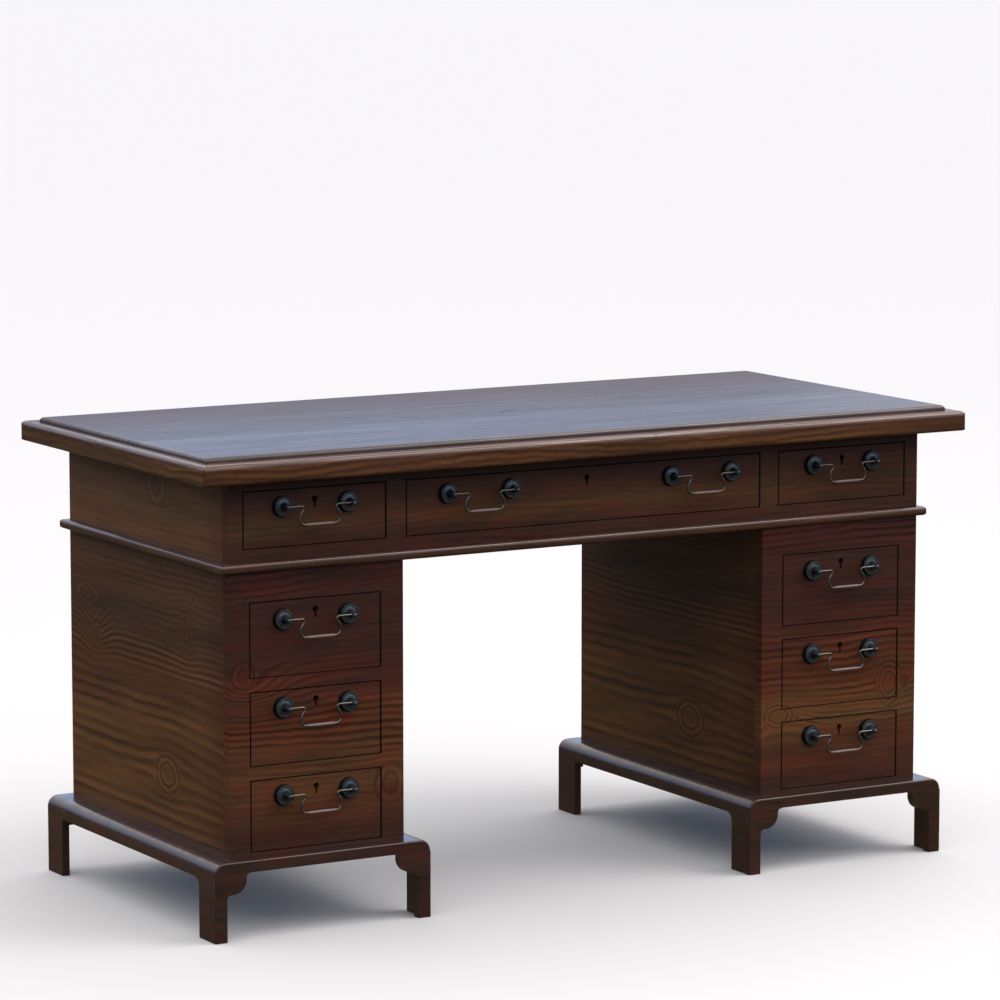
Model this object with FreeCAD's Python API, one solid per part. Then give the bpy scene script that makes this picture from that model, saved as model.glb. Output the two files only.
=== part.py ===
import FreeCAD, Part
import math
import os

from FreeCAD import Vector

# A pedestal desk in stained wood with nine drawers, in millimetres.
# The origin is on the floor at the centre of the top's outline. +X runs to the right
# along the front, the front faces -Y and +Z is up.

# Top: a raised field inside a mitred edge moulding, on a stiffening underframe
top_width = 1503.0
top_depth = 714.0
top_end_overhang = 68.3
top_front_overhang = 51.3
top_edge_height = 34.7
top_edge_end_width = 20.7
top_edge_front_width = 34.5
top_edge_upper_radius = 8.5
top_edge_lower_radius = 5.5
top_edge_corner_radius = 4.0
field_rise = 8.4
field_edge_radius = 7.5
field_thickness = 27.0
underframe_rail_width = 110.0

# Frieze section: three drawers side by side
frieze_bottom_rail_height = 22.1
frieze_drawer_height = 96.1
frieze_top_rail_height = 18.8
frieze_end_stile_width = 27.2
frieze_inner_stile_width = 37.8
frieze_end_drawer_width = 266.9
frieze_end_thickness = 20.0
frieze_back_thickness = 18.0
frieze_divider_thickness = 18.0

# Waist moulding round the frieze section's bottom board
waist_thickness = 16.0
waist_end_projection = 16.2
waist_front_projection = 9.0
waist_nose_radius = 6.5
waist_corner_radius = 2.0
rounding_room_share = 0.98

# Pedestals: three drawers one above the other
pedestal_bottom_rail_height = 6.7
lower_drawer_height = 121.1
middle_drawer_height = 124.7
upper_drawer_height = 127.3
drawer_rail_height = 22.5
pedestal_top_rail_height = 49.7
pedestal_outer_stile_width = 38.1
pedestal_inner_stile_width = 42.4
pedestal_drawer_width = 245.2
pedestal_side_thickness = 18.0
pedestal_back_thickness = 12.0
pedestal_top_board_thickness = 18.0
front_frame_thickness = 20.0

# Bases: a top board on bracket feet and cut-out side boards
base_height = 133.0
base_board_thickness = 19.5
base_outer_overhang = 41.0
base_inner_overhang = 37.8
base_front_overhang = 24.8
base_back_overhang = 18.8
base_side_flat = 1.0
base_front_round = 3.0
bracket_thickness = 17.0
bracket_leg_width = 22.5
bracket_leg_fillet = 8.0
bracket_cusp_reach = 36.0
bracket_cusp_drop = 34.5
bracket_cusp_radius = 24.5
bracket_tip_fillet = 6.0
bracket_tip_reach = 8.0
bracket_tip_thickness = 1.0
side_board_thickness = 13.5
side_board_rail_height = 12.7
side_foot_depth = 59.0
side_front_corner_radius = 16.0
side_back_corner_radius = 6.0
corner_block_size = 20.0
base_back_rail_height = 30.0
base_back_rail_thickness = 13.5

# Drawers: a flush front, two sides, a back and a bottom
drawer_front_thickness = 20.0
drawer_front_gap = 1.5
drawer_back_clearance = 33.4
drawer_wall_thickness = 12.0
drawer_bottom_thickness = 6.0
drawer_bottom_rise = 8.0
drawer_back_drop = 12.0
drawer_side_clearance = 0.3
drawer_bearer_clearance = 0.3
drawer_kicker_clearance = 1.2
guide_height = 20.0
kicker_height = 18.0

# Keyholes and the locks behind them
keyhole_drop = 19.9
keyhole_radius = 5.0
keyhole_slot_length = 13.3
keyhole_slot_upper_width = 4.4
keyhole_slot_lower_width = 3.4
lock_width = 50.0
lock_thickness = 8.0
lock_above_keyhole = 15.0
lock_below_keyhole = 20.0
lock_bolt_width = 18.0
lock_bolt_thickness = 4.0
lock_bolt_height = 8.5

# Handles: two rosettes, two posts with ball heads and a swinging bail
handle_post_spacing = 121.7
centre_drawer_left_handle_share = 0.5989
centre_drawer_right_handle_share = 0.6536
frieze_handle_drop = 28.3
upper_handle_drop = 31.8
middle_handle_drop = 29.7
lower_handle_drop = 29.0
rosette_radius = 16.6
rosette_side_height = 6.2
rosette_rim_round = 1.0
rosette_rim_width = 3.4
rosette_groove_width = 0.9
rosette_groove_depth = 0.8
rosette_dome_rise = 1.6
rosette_dome_rise_share = 0.12
bail_standoff = 18.5
post_foot_radius = 6.2
post_cone_height = 6.0
post_neck_radius = 3.4
post_head_radius = 4.3
post_head_reach = 5.0
post_shank_radius = 2.4
post_shank_end = 2.0
post_hole_clearance = 0.1
nut_thickness = 4.0
nut_radius = 4.6
nut_sides = 6
bail_wire_radius = 1.75
bail_pin_clearance = 0.12
bail_pin_reach = 1.6
bail_pin_end_clearance = 0.4
bail_shoulder_half_width = 25.7
bail_knee_reach = 9.9
bail_knee_drop = 12.5
bail_foot_reach = 3.4
bail_drop = 31.2
bail_shoulder_radius = 4.2
bail_knee_radius = 9.0
bail_foot_radius = 9.5
grip_half_length = 26.0
grip_radius = 2.8
grip_end_round = 1.0

# Places that follow from the sizes above
case_half_width = top_width / 2 - top_end_overhang
case_half_depth = top_depth / 2 - top_front_overhang
front_y = -case_half_depth
back_y = case_half_depth
frame_back_y = front_y + front_frame_thickness
pedestal_width = pedestal_inner_stile_width + pedestal_drawer_width + pedestal_outer_stile_width
pedestal_inner_x = case_half_width - pedestal_width
lower_drawer_z = base_height + pedestal_bottom_rail_height
middle_drawer_z = lower_drawer_z + lower_drawer_height + drawer_rail_height
upper_drawer_z = middle_drawer_z + middle_drawer_height + drawer_rail_height
pedestal_top_z = upper_drawer_z + upper_drawer_height + pedestal_top_rail_height
frieze_floor_z = pedestal_top_z + waist_thickness
frieze_drawer_z = frieze_floor_z + frieze_bottom_rail_height
frieze_top_z = frieze_drawer_z + frieze_drawer_height + frieze_top_rail_height
top_edge_z = frieze_top_z + top_edge_height
field_z = top_edge_z + field_rise
centre_drawer_half_width = (
    case_half_width - frieze_end_stile_width - frieze_end_drawer_width - frieze_inner_stile_width
)
divider_x = centre_drawer_half_width + frieze_inner_stile_width / 2
base_underside_z = base_height - base_board_thickness
base_outer_x = case_half_width + base_outer_overhang
base_inner_x = pedestal_inner_x - base_inner_overhang
base_front_y = front_y - base_front_overhang
base_back_y = back_y + base_back_overhang
bail_axis_y = front_y - bail_standoff
post_head_y = bail_axis_y - post_head_reach
drawer_inner_y = front_y + drawer_front_thickness
drawer_back_y = back_y - max(frieze_back_thickness, pedestal_back_thickness) - drawer_back_clearance
rosette_face_height = rosette_side_height + rosette_rim_round
rosette_groove_radius = rosette_radius - rosette_rim_width
rosette_groove_height = rosette_face_height - rosette_groove_depth
rosette_height = rosette_groove_height + rosette_dome_rise
bail_knee_half_width = bail_shoulder_half_width + bail_knee_reach
bail_foot_half_width = bail_knee_half_width + bail_foot_reach
base_side_round = base_board_thickness - base_side_flat


def board(x_low, x_high, y_low, y_high, z_low, z_high):
    """A rectangular board between its low and high corners."""
    corner = Vector(x_low, y_low, z_low)
    return Part.makeBox(x_high - x_low, y_high - y_low, z_high - z_low, corner)


def mirrored(shapes, at_x=0):
    """The same pieces mirrored left to right in the plane at_x."""
    return [shape.mirror(Vector(at_x, 0, 0), Vector(1, 0, 0)) for shape in shapes]


def rounded_path(corners, closed):
    """Straight runs through the corners, with a tangent arc at each corner that has a radius."""
    count = len(corners)
    starts = []
    arcs = []
    for index, (point, radius) in enumerate(corners):
        inner = closed or 0 < index < count - 1
        if not inner or radius == 0:
            starts.append((point, point))
            arcs.append(None)
            continue
        arriving = (point - corners[index - 1][0]).normalize()
        leaving = (corners[(index + 1) % count][0] - point).normalize()
        half_turn = arriving.getAngle(leaving) / 2
        setback = radius * math.tan(half_turn)
        first = point - arriving * setback
        last = point + leaving * setback
        towards_centre = (leaving - arriving).normalize()
        middle = point + towards_centre * (radius / math.cos(half_turn) - radius)
        starts.append((first, last))
        arcs.append(Part.Arc(first, middle, last).toShape())
    edges = []
    for index in range(count):
        if arcs[index]:
            edges.append(arcs[index])
        if index == count - 1 and not closed:
            break
        run_start = starts[index][1]
        run_end = starts[(index + 1) % count][0]
        edges.append(Part.LineSegment(run_start, run_end).toShape())
    return Part.Wire(edges)


def prism(corners, along):
    """A solid with a flat outline of (point, radius) corners, carried straight along a vector."""
    return Part.Face(rounded_path(corners, True)).extrude(along)


def turned(outline_edges, x, z):
    """A turned piece: an outline in the plane of its axis, spun round the Y axis through x and z."""
    face = Part.Face(Part.Wire(outline_edges))
    solid = face.revolve(Vector(0, 0, 0), Vector(0, 1, 0), 360)
    solid.translate(Vector(x, 0, z))
    return solid


def rounding(radius, *rooms):
    """A rounding's radius, held inside the walls that it rounds."""
    return min([radius] + [room * rounding_room_share for room in rooms])


def save(node, solids):
    """Write the separate solids of one named piece to its file."""
    shape = solids[0] if len(solids) == 1 else Part.makeCompound(solids)
    shape.exportStep("parts/" + node + ".step")


def rounded_board(half_x, half_y, low, high, upper_radius, lower_radius, corner_radius):
    """A board round the origin with its edges rounded over, above, below and in plan."""
    end_section = [
        (Vector(-half_x, -half_y, low), lower_radius),
        (Vector(-half_x, half_y, low), lower_radius),
        (Vector(-half_x, half_y, high), upper_radius),
        (Vector(-half_x, -half_y, high), upper_radius),
    ]
    front_section = [
        (Vector(-half_x, -half_y, low), lower_radius),
        (Vector(half_x, -half_y, low), lower_radius),
        (Vector(half_x, -half_y, high), upper_radius),
        (Vector(-half_x, -half_y, high), upper_radius),
    ]
    plan = [
        (Vector(-half_x, -half_y, low), corner_radius),
        (Vector(half_x, -half_y, low), corner_radius),
        (Vector(half_x, half_y, low), corner_radius),
        (Vector(-half_x, half_y, low), corner_radius),
    ]
    whole = prism(end_section, Vector(2 * half_x, 0, 0))
    whole = whole.common(prism(front_section, Vector(0, 2 * half_y, 0)))
    return whole.common(prism(plan, Vector(0, 0, high - low))).Solids[0]


def mitred_frame(inner_x, inner_y, outer_x, outer_y, slab, low, high):
    """Four lengths of edging, cut from a slab's rim and mitred: front, right, back and left."""
    rim = slab.cut(board(-inner_x, inner_x, -inner_y, inner_y, low, high))
    turns = [(-1, -1), (1, -1), (1, 1), (-1, 1)]
    lengths = []
    for index, (from_x, from_y) in enumerate(turns):
        to_x, to_y = turns[(index + 1) % len(turns)]
        plan = [
            (Vector(from_x * outer_x, from_y * outer_y, low), 0),
            (Vector(to_x * outer_x, to_y * outer_y, low), 0),
            (Vector(to_x * inner_x, to_y * inner_y, low), 0),
            (Vector(from_x * inner_x, from_y * inner_y, low), 0),
        ]
        lengths.append(rim.common(prism(plan, Vector(0, 0, high - low))).Solids[0])
    return lengths


def top_pieces():
    """The raised field, the edge moulding round it and the underframe below it."""
    half_width = top_width / 2
    half_depth = top_depth / 2
    field_x = half_width - top_edge_end_width
    field_y = half_depth - top_edge_front_width
    field_low = field_z - field_thickness
    field = board(-field_x, field_x, -field_y, field_y, field_low, field_z)
    upper_edges = []
    for edge in field.Edges:
        if all(abs(vertex.Z - field_z) < field_edge_radius / 2 for vertex in edge.Vertexes):
            upper_edges.append(edge)
    save("top_panel", [field.makeFillet(field_edge_radius, upper_edges)])
    slab = rounded_board(
        half_width, half_depth, frieze_top_z, top_edge_z,
        top_edge_upper_radius, top_edge_lower_radius, top_edge_corner_radius,
    )
    save("top_edge_moulding", mitred_frame(
        field_x, field_y, half_width, half_depth, slab, frieze_top_z, top_edge_z,
    ))
    inner_y = field_y - underframe_rail_width
    inner_x = field_x - underframe_rail_width
    half_rail = underframe_rail_width / 2
    save("top_underframe", [
        board(-field_x, field_x, -field_y, -inner_y, frieze_top_z, field_low),
        board(-field_x, field_x, inner_y, field_y, frieze_top_z, field_low),
        board(-field_x, -inner_x, -inner_y, inner_y, frieze_top_z, field_low),
        board(inner_x, field_x, -inner_y, inner_y, frieze_top_z, field_low),
        board(-half_rail, half_rail, -inner_y, inner_y, frieze_top_z, field_low),
    ])


def frieze_pieces():
    """The case of the frieze section, open at the front for its three drawers."""
    inner_back_y = back_y - frieze_back_thickness
    end_inner_x = case_half_width - frieze_end_thickness
    drawer_top_z = frieze_drawer_z + frieze_drawer_height
    end = board(end_inner_x, case_half_width, frame_back_y, back_y, frieze_floor_z, frieze_top_z)
    save("frieze_ends", [end] + mirrored([end]))
    save("frieze_back", [
        board(-end_inner_x, end_inner_x, inner_back_y, back_y, frieze_floor_z, frieze_top_z),
    ])
    outer_stile_x = case_half_width - frieze_end_stile_width
    inner_stile_x = centre_drawer_half_width + frieze_inner_stile_width
    stiles = [
        board(outer_stile_x, case_half_width, front_y, frame_back_y, frieze_drawer_z, drawer_top_z),
        board(
            centre_drawer_half_width, inner_stile_x, front_y, frame_back_y,
            frieze_drawer_z, drawer_top_z,
        ),
    ]
    rails = [
        board(
            -case_half_width, case_half_width, front_y, frame_back_y,
            frieze_floor_z, frieze_drawer_z,
        ),
        board(
            -case_half_width, case_half_width, front_y, frame_back_y, drawer_top_z, frieze_top_z,
        ),
    ]
    save("frieze_front_frame", rails + stiles + mirrored(stiles))
    save("frieze_bottom_board", [
        board(-case_half_width, case_half_width, front_y, back_y, pedestal_top_z, frieze_floor_z),
    ])
    nose_radius = rounding(
        waist_nose_radius, waist_thickness / 2, waist_end_projection, waist_front_projection,
    )
    outer_x = case_half_width + waist_end_projection
    outer_y = case_half_depth + waist_front_projection
    slab = rounded_board(
        outer_x, outer_y, pedestal_top_z, frieze_floor_z, nose_radius, nose_radius,
        waist_corner_radius,
    )
    save("waist_moulding", mitred_frame(
        case_half_width, case_half_depth, outer_x, outer_y, slab, pedestal_top_z, frieze_floor_z,
    ))


def runner_set(opening, wall_low, wall_high, bearer_height, case_back_y, kicker_top=None):
    """Bearers under a drawer's sides, guides beside them and kickers above, on both sides."""
    under_side = drawer_side_clearance + drawer_wall_thickness
    strips = []
    for wall, edge, inwards in (
        (wall_low, opening["x_low"], 1),
        (wall_high, opening["x_high"], -1),
    ):
        inner = edge + inwards * under_side
        low, high = sorted((wall, inner))
        base = opening["z_low"]
        strips.append(board(low, high, frame_back_y, case_back_y, base - bearer_height, base))
        if kicker_top:
            strips.append(board(
                low, high, frame_back_y, case_back_y, opening["z_high"], kicker_top,
            ))
        low, high = sorted((wall, edge))
        strips.append(board(low, high, frame_back_y, case_back_y, base, base + guide_height))
    return strips


def frieze_runner_pieces(openings):
    """Two dividers between the frieze drawers, and the strips that carry and guide them."""
    inner_back_y = back_y - frieze_back_thickness
    end_inner_x = case_half_width - frieze_end_thickness
    near_x = divider_x - frieze_divider_thickness / 2
    far_x = divider_x + frieze_divider_thickness / 2
    divider = board(near_x, far_x, frame_back_y, inner_back_y, frieze_floor_z, frieze_top_z)
    solids = [divider] + mirrored([divider])
    walls = {
        "left_frieze": (-end_inner_x, -far_x),
        "centre_frieze": (-near_x, near_x),
        "right_frieze": (far_x, end_inner_x),
    }
    for opening in openings:
        if opening["name"] in walls:
            wall_low, wall_high = walls[opening["name"]]
            solids += runner_set(
                opening, wall_low, wall_high, frieze_bottom_rail_height, inner_back_y, frieze_top_z,
            )
    save("frieze_runners", solids)


def pedestal_pieces(openings):
    """Both pedestals: sides, front frames, backs, top boards and the runners inside them."""
    inner_back_y = back_y - pedestal_back_thickness
    inner_wall_x = pedestal_inner_x + pedestal_side_thickness
    outer_wall_x = case_half_width - pedestal_side_thickness
    sides = [
        board(pedestal_inner_x, inner_wall_x, frame_back_y, back_y, base_height, pedestal_top_z),
        board(outer_wall_x, case_half_width, frame_back_y, back_y, base_height, pedestal_top_z),
    ]
    opening_low_x = pedestal_inner_x + pedestal_inner_stile_width
    opening_high_x = case_half_width - pedestal_outer_stile_width
    frame = [
        board(pedestal_inner_x, opening_low_x, front_y, frame_back_y, base_height, pedestal_top_z),
        board(opening_high_x, case_half_width, front_y, frame_back_y, base_height, pedestal_top_z),
    ]
    rail_heights = (
        (base_height, lower_drawer_z),
        (lower_drawer_z + lower_drawer_height, middle_drawer_z),
        (middle_drawer_z + middle_drawer_height, upper_drawer_z),
        (upper_drawer_z + upper_drawer_height, pedestal_top_z),
    )
    for low, high in rail_heights:
        frame.append(board(opening_low_x, opening_high_x, front_y, frame_back_y, low, high))
    save("right_pedestal_sides", sides)
    save("left_pedestal_sides", mirrored(sides))
    save("right_pedestal_front_frame", frame)
    save("left_pedestal_front_frame", mirrored(frame))
    back = board(inner_wall_x, outer_wall_x, inner_back_y, back_y, base_height, pedestal_top_z)
    save("pedestal_backs", [back] + mirrored([back]))
    top_board = board(
        inner_wall_x, outer_wall_x, frame_back_y, inner_back_y,
        pedestal_top_z - pedestal_top_board_thickness, pedestal_top_z,
    )
    save("pedestal_top_boards", [top_board] + mirrored([top_board]))
    strips = []
    for opening in openings:
        if not opening["name"].startswith("right") or opening["name"] == "right_frieze":
            continue
        lowest = opening["z_low"] == lower_drawer_z
        highest = opening["z_low"] == upper_drawer_z
        bearer_height = pedestal_bottom_rail_height if lowest else drawer_rail_height
        kicker_top = opening["z_high"] + kicker_height if highest else None
        strips += runner_set(
            opening, inner_wall_x, outer_wall_x, bearer_height, inner_back_y, kicker_top,
        )
    save("pedestal_runners", strips + mirrored(strips))


def base_top_board():
    """The right base's top board, its side edges rounded over and its front edge eased."""
    outline = [
        (Vector(base_inner_x, base_front_y, base_underside_z), 0),
        (Vector(base_outer_x, base_front_y, base_underside_z), 0),
        (Vector(base_outer_x, base_front_y, base_height), base_side_round),
        (Vector(base_inner_x, base_front_y, base_height), base_side_round),
    ]
    solid = prism(outline, Vector(0, base_back_y - base_front_y, 0))
    eased = []
    for edge in solid.Edges:
        on_front = all(abs(v.Y - base_front_y) < base_front_round for v in edge.Vertexes)
        if on_front and edge.CenterOfMass.z > base_height - base_side_round:
            eased.append(edge)
    return solid.makeFillet(base_front_round, eased)


def front_bracket():
    """The right base's inner front bracket: a leg with a scrolled cusp, mitred at its outer end."""
    leg_x = base_inner_x + bracket_leg_width
    cusp_x = leg_x + bracket_cusp_reach
    tip_x = cusp_x + bracket_tip_reach
    cusp_z = base_underside_z - bracket_cusp_drop
    tip_z = base_underside_z - bracket_tip_thickness
    cusp_radius = rounding(
        bracket_cusp_radius, bracket_cusp_reach - bracket_leg_fillet,
        bracket_cusp_drop - bracket_tip_thickness - bracket_tip_fillet,
    )
    outline = [
        (Vector(base_inner_x, base_front_y, 0), 0),
        (Vector(leg_x, base_front_y, 0), 0),
        (Vector(leg_x, base_front_y, cusp_z), bracket_leg_fillet),
        (Vector(cusp_x, base_front_y, cusp_z), cusp_radius),
        (Vector(cusp_x, base_front_y, tip_z), bracket_tip_fillet),
        (Vector(tip_x, base_front_y, tip_z), 0),
        (Vector(tip_x, base_front_y, base_underside_z), 0),
        (Vector(base_inner_x, base_front_y, base_underside_z), 0),
    ]
    bracket = prism(outline, Vector(0, bracket_thickness, 0))
    plan = [
        (Vector(base_inner_x, base_front_y, 0), 0),
        (Vector(tip_x, base_front_y, 0), 0),
        (Vector(tip_x, base_front_y + bracket_thickness, 0), 0),
        (Vector(base_inner_x + side_board_thickness, base_front_y + bracket_thickness, 0), 0),
    ]
    return bracket.common(prism(plan, Vector(0, 0, base_underside_z))).Solids[0]


def side_board():
    """The right base's inner side board, cut out between its feet and mitred at the front."""
    rail_z = base_underside_z - side_board_rail_height
    front_foot_y = base_front_y + side_foot_depth
    back_foot_y = base_back_y - side_foot_depth
    outline = [
        (Vector(base_inner_x, base_front_y, 0), 0),
        (Vector(base_inner_x, front_foot_y, 0), 0),
        (Vector(base_inner_x, front_foot_y, rail_z), side_front_corner_radius),
        (Vector(base_inner_x, back_foot_y, rail_z), side_back_corner_radius),
        (Vector(base_inner_x, back_foot_y, 0), 0),
        (Vector(base_inner_x, base_back_y, 0), 0),
        (Vector(base_inner_x, base_back_y, base_underside_z), 0),
        (Vector(base_inner_x, base_front_y, base_underside_z), 0),
    ]
    solid = prism(outline, Vector(side_board_thickness, 0, 0))
    inner_face_x = base_inner_x + side_board_thickness
    plan = [
        (Vector(base_inner_x, base_front_y, 0), 0),
        (Vector(inner_face_x, base_front_y + bracket_thickness, 0), 0),
        (Vector(inner_face_x, base_back_y, 0), 0),
        (Vector(base_inner_x, base_back_y, 0), 0),
    ]
    return solid.common(prism(plan, Vector(0, 0, base_underside_z))).Solids[0]


def base_pieces():
    """Both bases. The pieces of the right one are mirrored for the left."""
    middle_x = (base_inner_x + base_outer_x) / 2
    top_board = base_top_board()
    brackets = [front_bracket()]
    brackets += mirrored(brackets, middle_x)
    side_boards = [side_board()]
    side_boards += mirrored(side_boards, middle_x)
    save("right_base_top", [top_board])
    save("left_base_top", mirrored([top_board]))
    save("right_base_front_brackets", brackets)
    save("left_base_front_brackets", mirrored(brackets))
    save("right_base_side_boards", side_boards)
    save("left_base_side_boards", mirrored(side_boards))
    inner_x = base_inner_x + side_board_thickness
    outer_x = base_outer_x - side_board_thickness
    rail_y = base_back_y - base_back_rail_thickness
    block_z = base_underside_z - base_back_rail_height
    rail = board(inner_x, outer_x, rail_y, base_back_y, block_z, base_underside_z)
    block_x = inner_x + corner_block_size
    front_block_y = base_front_y + bracket_thickness
    blocks = [
        board(
            inner_x, block_x, front_block_y, front_block_y + corner_block_size,
            block_z, base_underside_z,
        ),
        board(inner_x, block_x, rail_y - corner_block_size, rail_y, block_z, base_underside_z),
    ]
    right = [rail] + blocks + mirrored(blocks, middle_x)
    save("base_blocks_and_back_rails", right + mirrored(right))


def drawer_openings():
    """Every drawer opening: its name, its edges, its handles' centres and how low they hang."""
    openings = []
    end_low_x = centre_drawer_half_width + frieze_inner_stile_width
    end_high_x = end_low_x + frieze_end_drawer_width
    frieze_high_z = frieze_drawer_z + frieze_drawer_height
    end_centre_x = (end_low_x + end_high_x) / 2
    left_handle_x = -centre_drawer_half_width * centre_drawer_left_handle_share
    right_handle_x = centre_drawer_half_width * centre_drawer_right_handle_share
    frieze_rows = (
        ("left_frieze", -end_high_x, -end_low_x, (-end_centre_x,)),
        ("centre_frieze", -centre_drawer_half_width, centre_drawer_half_width,
         (left_handle_x, right_handle_x)),
        ("right_frieze", end_low_x, end_high_x, (end_centre_x,)),
    )
    for name, x_low, x_high, handles in frieze_rows:
        openings.append({
            "name": name, "x_low": x_low, "x_high": x_high,
            "z_low": frieze_drawer_z, "z_high": frieze_high_z,
            "handles": handles, "handle_drop": frieze_handle_drop,
        })
    near_x = pedestal_inner_x + pedestal_inner_stile_width
    far_x = near_x + pedestal_drawer_width
    centre_x = (near_x + far_x) / 2
    levels = (
        ("upper", upper_drawer_z, upper_drawer_height, upper_handle_drop),
        ("middle", middle_drawer_z, middle_drawer_height, middle_handle_drop),
        ("lower", lower_drawer_z, lower_drawer_height, lower_handle_drop),
    )
    for side, x_low, x_high, handle_x in (
        ("left", -far_x, -near_x, -centre_x),
        ("right", near_x, far_x, centre_x),
    ):
        for level, z_low, height, drop in levels:
            openings.append({
                "name": side + "_" + level, "x_low": x_low, "x_high": x_high,
                "z_low": z_low, "z_high": z_low + height,
                "handles": (handle_x,), "handle_drop": drop,
            })
    return openings


def keyhole_cutter(x, z, y_low, y_high):
    """The keyhole's space: a round hole with a tapered slot below it, right through along Y."""
    through = Vector(0, y_high - y_low, 0)
    hole = Part.makeCylinder(keyhole_radius, y_high - y_low, Vector(x, y_low, z), Vector(0, 1, 0))
    half_upper = keyhole_slot_upper_width / 2
    half_lower = keyhole_slot_lower_width / 2
    slot_z = z - keyhole_slot_length
    slot = prism([
        (Vector(x - half_upper, y_low, z), 0),
        (Vector(x + half_upper, y_low, z), 0),
        (Vector(x + half_lower, y_low, slot_z), 0),
        (Vector(x - half_lower, y_low, slot_z), 0),
    ], through)
    return hole.fuse(slot)


def drawer_front(opening, post_places):
    """The flush drawer front, with its keyhole and the holes for the handle posts."""
    front = board(
        opening["x_low"] + drawer_front_gap, opening["x_high"] - drawer_front_gap,
        front_y, drawer_inner_y,
        opening["z_low"] + drawer_front_gap, opening["z_high"] - drawer_front_gap,
    )
    cutters = [keyhole_cutter(*keyhole_place(opening), front_y, drawer_inner_y)]
    hole_radius = post_shank_radius + post_hole_clearance
    for x, z in post_places:
        cutters.append(Part.makeCylinder(
            hole_radius, drawer_front_thickness, Vector(x, front_y, z), Vector(0, 1, 0),
        ))
    return front.cut(cutters).Solids[0]


def keyhole_place(opening):
    """Where the round part of a drawer's keyhole is centred, as x and z."""
    return (opening["x_low"] + opening["x_high"]) / 2, opening["z_high"] - keyhole_drop


def drawer_box(opening):
    """The drawer's sides, back and bottom, which fit between the opening's guides."""
    left_x = opening["x_low"] + drawer_side_clearance
    right_x = opening["x_high"] - drawer_side_clearance
    inner_left_x = left_x + drawer_wall_thickness
    inner_right_x = right_x - drawer_wall_thickness
    low_z = opening["z_low"] + drawer_bearer_clearance
    high_z = opening["z_high"] - drawer_kicker_clearance
    bottom_z = low_z + drawer_bottom_rise
    floor_z = bottom_z + drawer_bottom_thickness
    back_inner_y = drawer_back_y - drawer_wall_thickness
    return [
        board(left_x, inner_left_x, drawer_inner_y, drawer_back_y, low_z, high_z),
        board(inner_right_x, right_x, drawer_inner_y, drawer_back_y, low_z, high_z),
        board(
            inner_left_x, inner_right_x, back_inner_y, drawer_back_y,
            floor_z, high_z - drawer_back_drop,
        ),
        board(inner_left_x, inner_right_x, drawer_inner_y, drawer_back_y, bottom_z, floor_z),
    ]


def rosette(x, z):
    """A thick round plate: a straight side, a rim, a groove and a low dome, bored for the post."""
    bore = post_shank_radius + post_hole_clearance
    rim_y = front_y - rosette_side_height
    face_y = front_y - rosette_face_height
    groove_y = front_y - rosette_groove_height
    crown_y = front_y - rosette_height
    rim_inner_radius = rosette_radius - rosette_rim_round
    rim_diagonal = rosette_rim_round * math.sqrt(1 / 2)
    dome_edge = Vector(rosette_groove_radius - rosette_groove_width, groove_y, 0)
    dome_top = Vector(post_foot_radius, crown_y, 0)
    dome_rise = rosette_dome_rise * rosette_dome_rise_share
    outline = [
        Vector(bore, crown_y, 0),
        Vector(bore, front_y, 0),
        Vector(rosette_radius, front_y, 0),
        Vector(rosette_radius, rim_y, 0),
        Vector(rim_inner_radius, face_y, 0),
        Vector(rosette_groove_radius, face_y, 0),
        Vector(rosette_groove_radius, groove_y, 0),
        dome_edge,
        dome_top,
    ]
    curved = {
        3: Vector(rim_inner_radius + rim_diagonal, rim_y - rim_diagonal, 0),
        7: (dome_edge + dome_top) / 2 - Vector(0, dome_rise, 0),
    }
    edges = []
    for index, first in enumerate(outline):
        last = outline[(index + 1) % len(outline)]
        if index in curved:
            edges.append(Part.Arc(first, curved[index], last).toShape())
        else:
            edges.append(Part.LineSegment(first, last).toShape())
    return turned(edges, x, z)


def handle_post(x, z, towards_grip):
    """A post: shank, cone, neck and ball head, its neck bored along X for the end of the bail."""
    end_y = drawer_inner_y + nut_thickness + post_shank_end
    foot_y = front_y - rosette_height
    neck_rise = math.sqrt(post_head_radius ** 2 - post_neck_radius ** 2)
    neck = Vector(post_neck_radius, post_head_y + neck_rise, 0)
    points = [
        Vector(0, end_y, 0),
        Vector(post_shank_radius, end_y, 0),
        Vector(post_shank_radius, foot_y, 0),
        Vector(post_foot_radius, foot_y, 0),
        Vector(post_neck_radius, foot_y - post_cone_height, 0),
        neck,
    ]
    edges = []
    for start, end in zip(points, points[1:]):
        edges.append(Part.LineSegment(start, end).toShape())
    equator = Vector(post_head_radius, post_head_y, 0)
    tip = Vector(0, post_head_y - post_head_radius, 0)
    edges.append(Part.Arc(neck, equator, tip).toShape())
    edges.append(Part.LineSegment(tip, points[0]).toShape())
    post = turned(edges, x, z)
    bore_end_x = x - towards_grip * (bail_pin_reach + bail_pin_end_clearance)
    bore_length = post_neck_radius + bail_pin_reach + bail_pin_end_clearance
    bore = Part.makeCylinder(
        bail_wire_radius + bail_pin_clearance, bore_length,
        Vector(bore_end_x, bail_axis_y, z), Vector(towards_grip, 0, 0),
    )
    return post.cut(bore).Solids[0]


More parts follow.
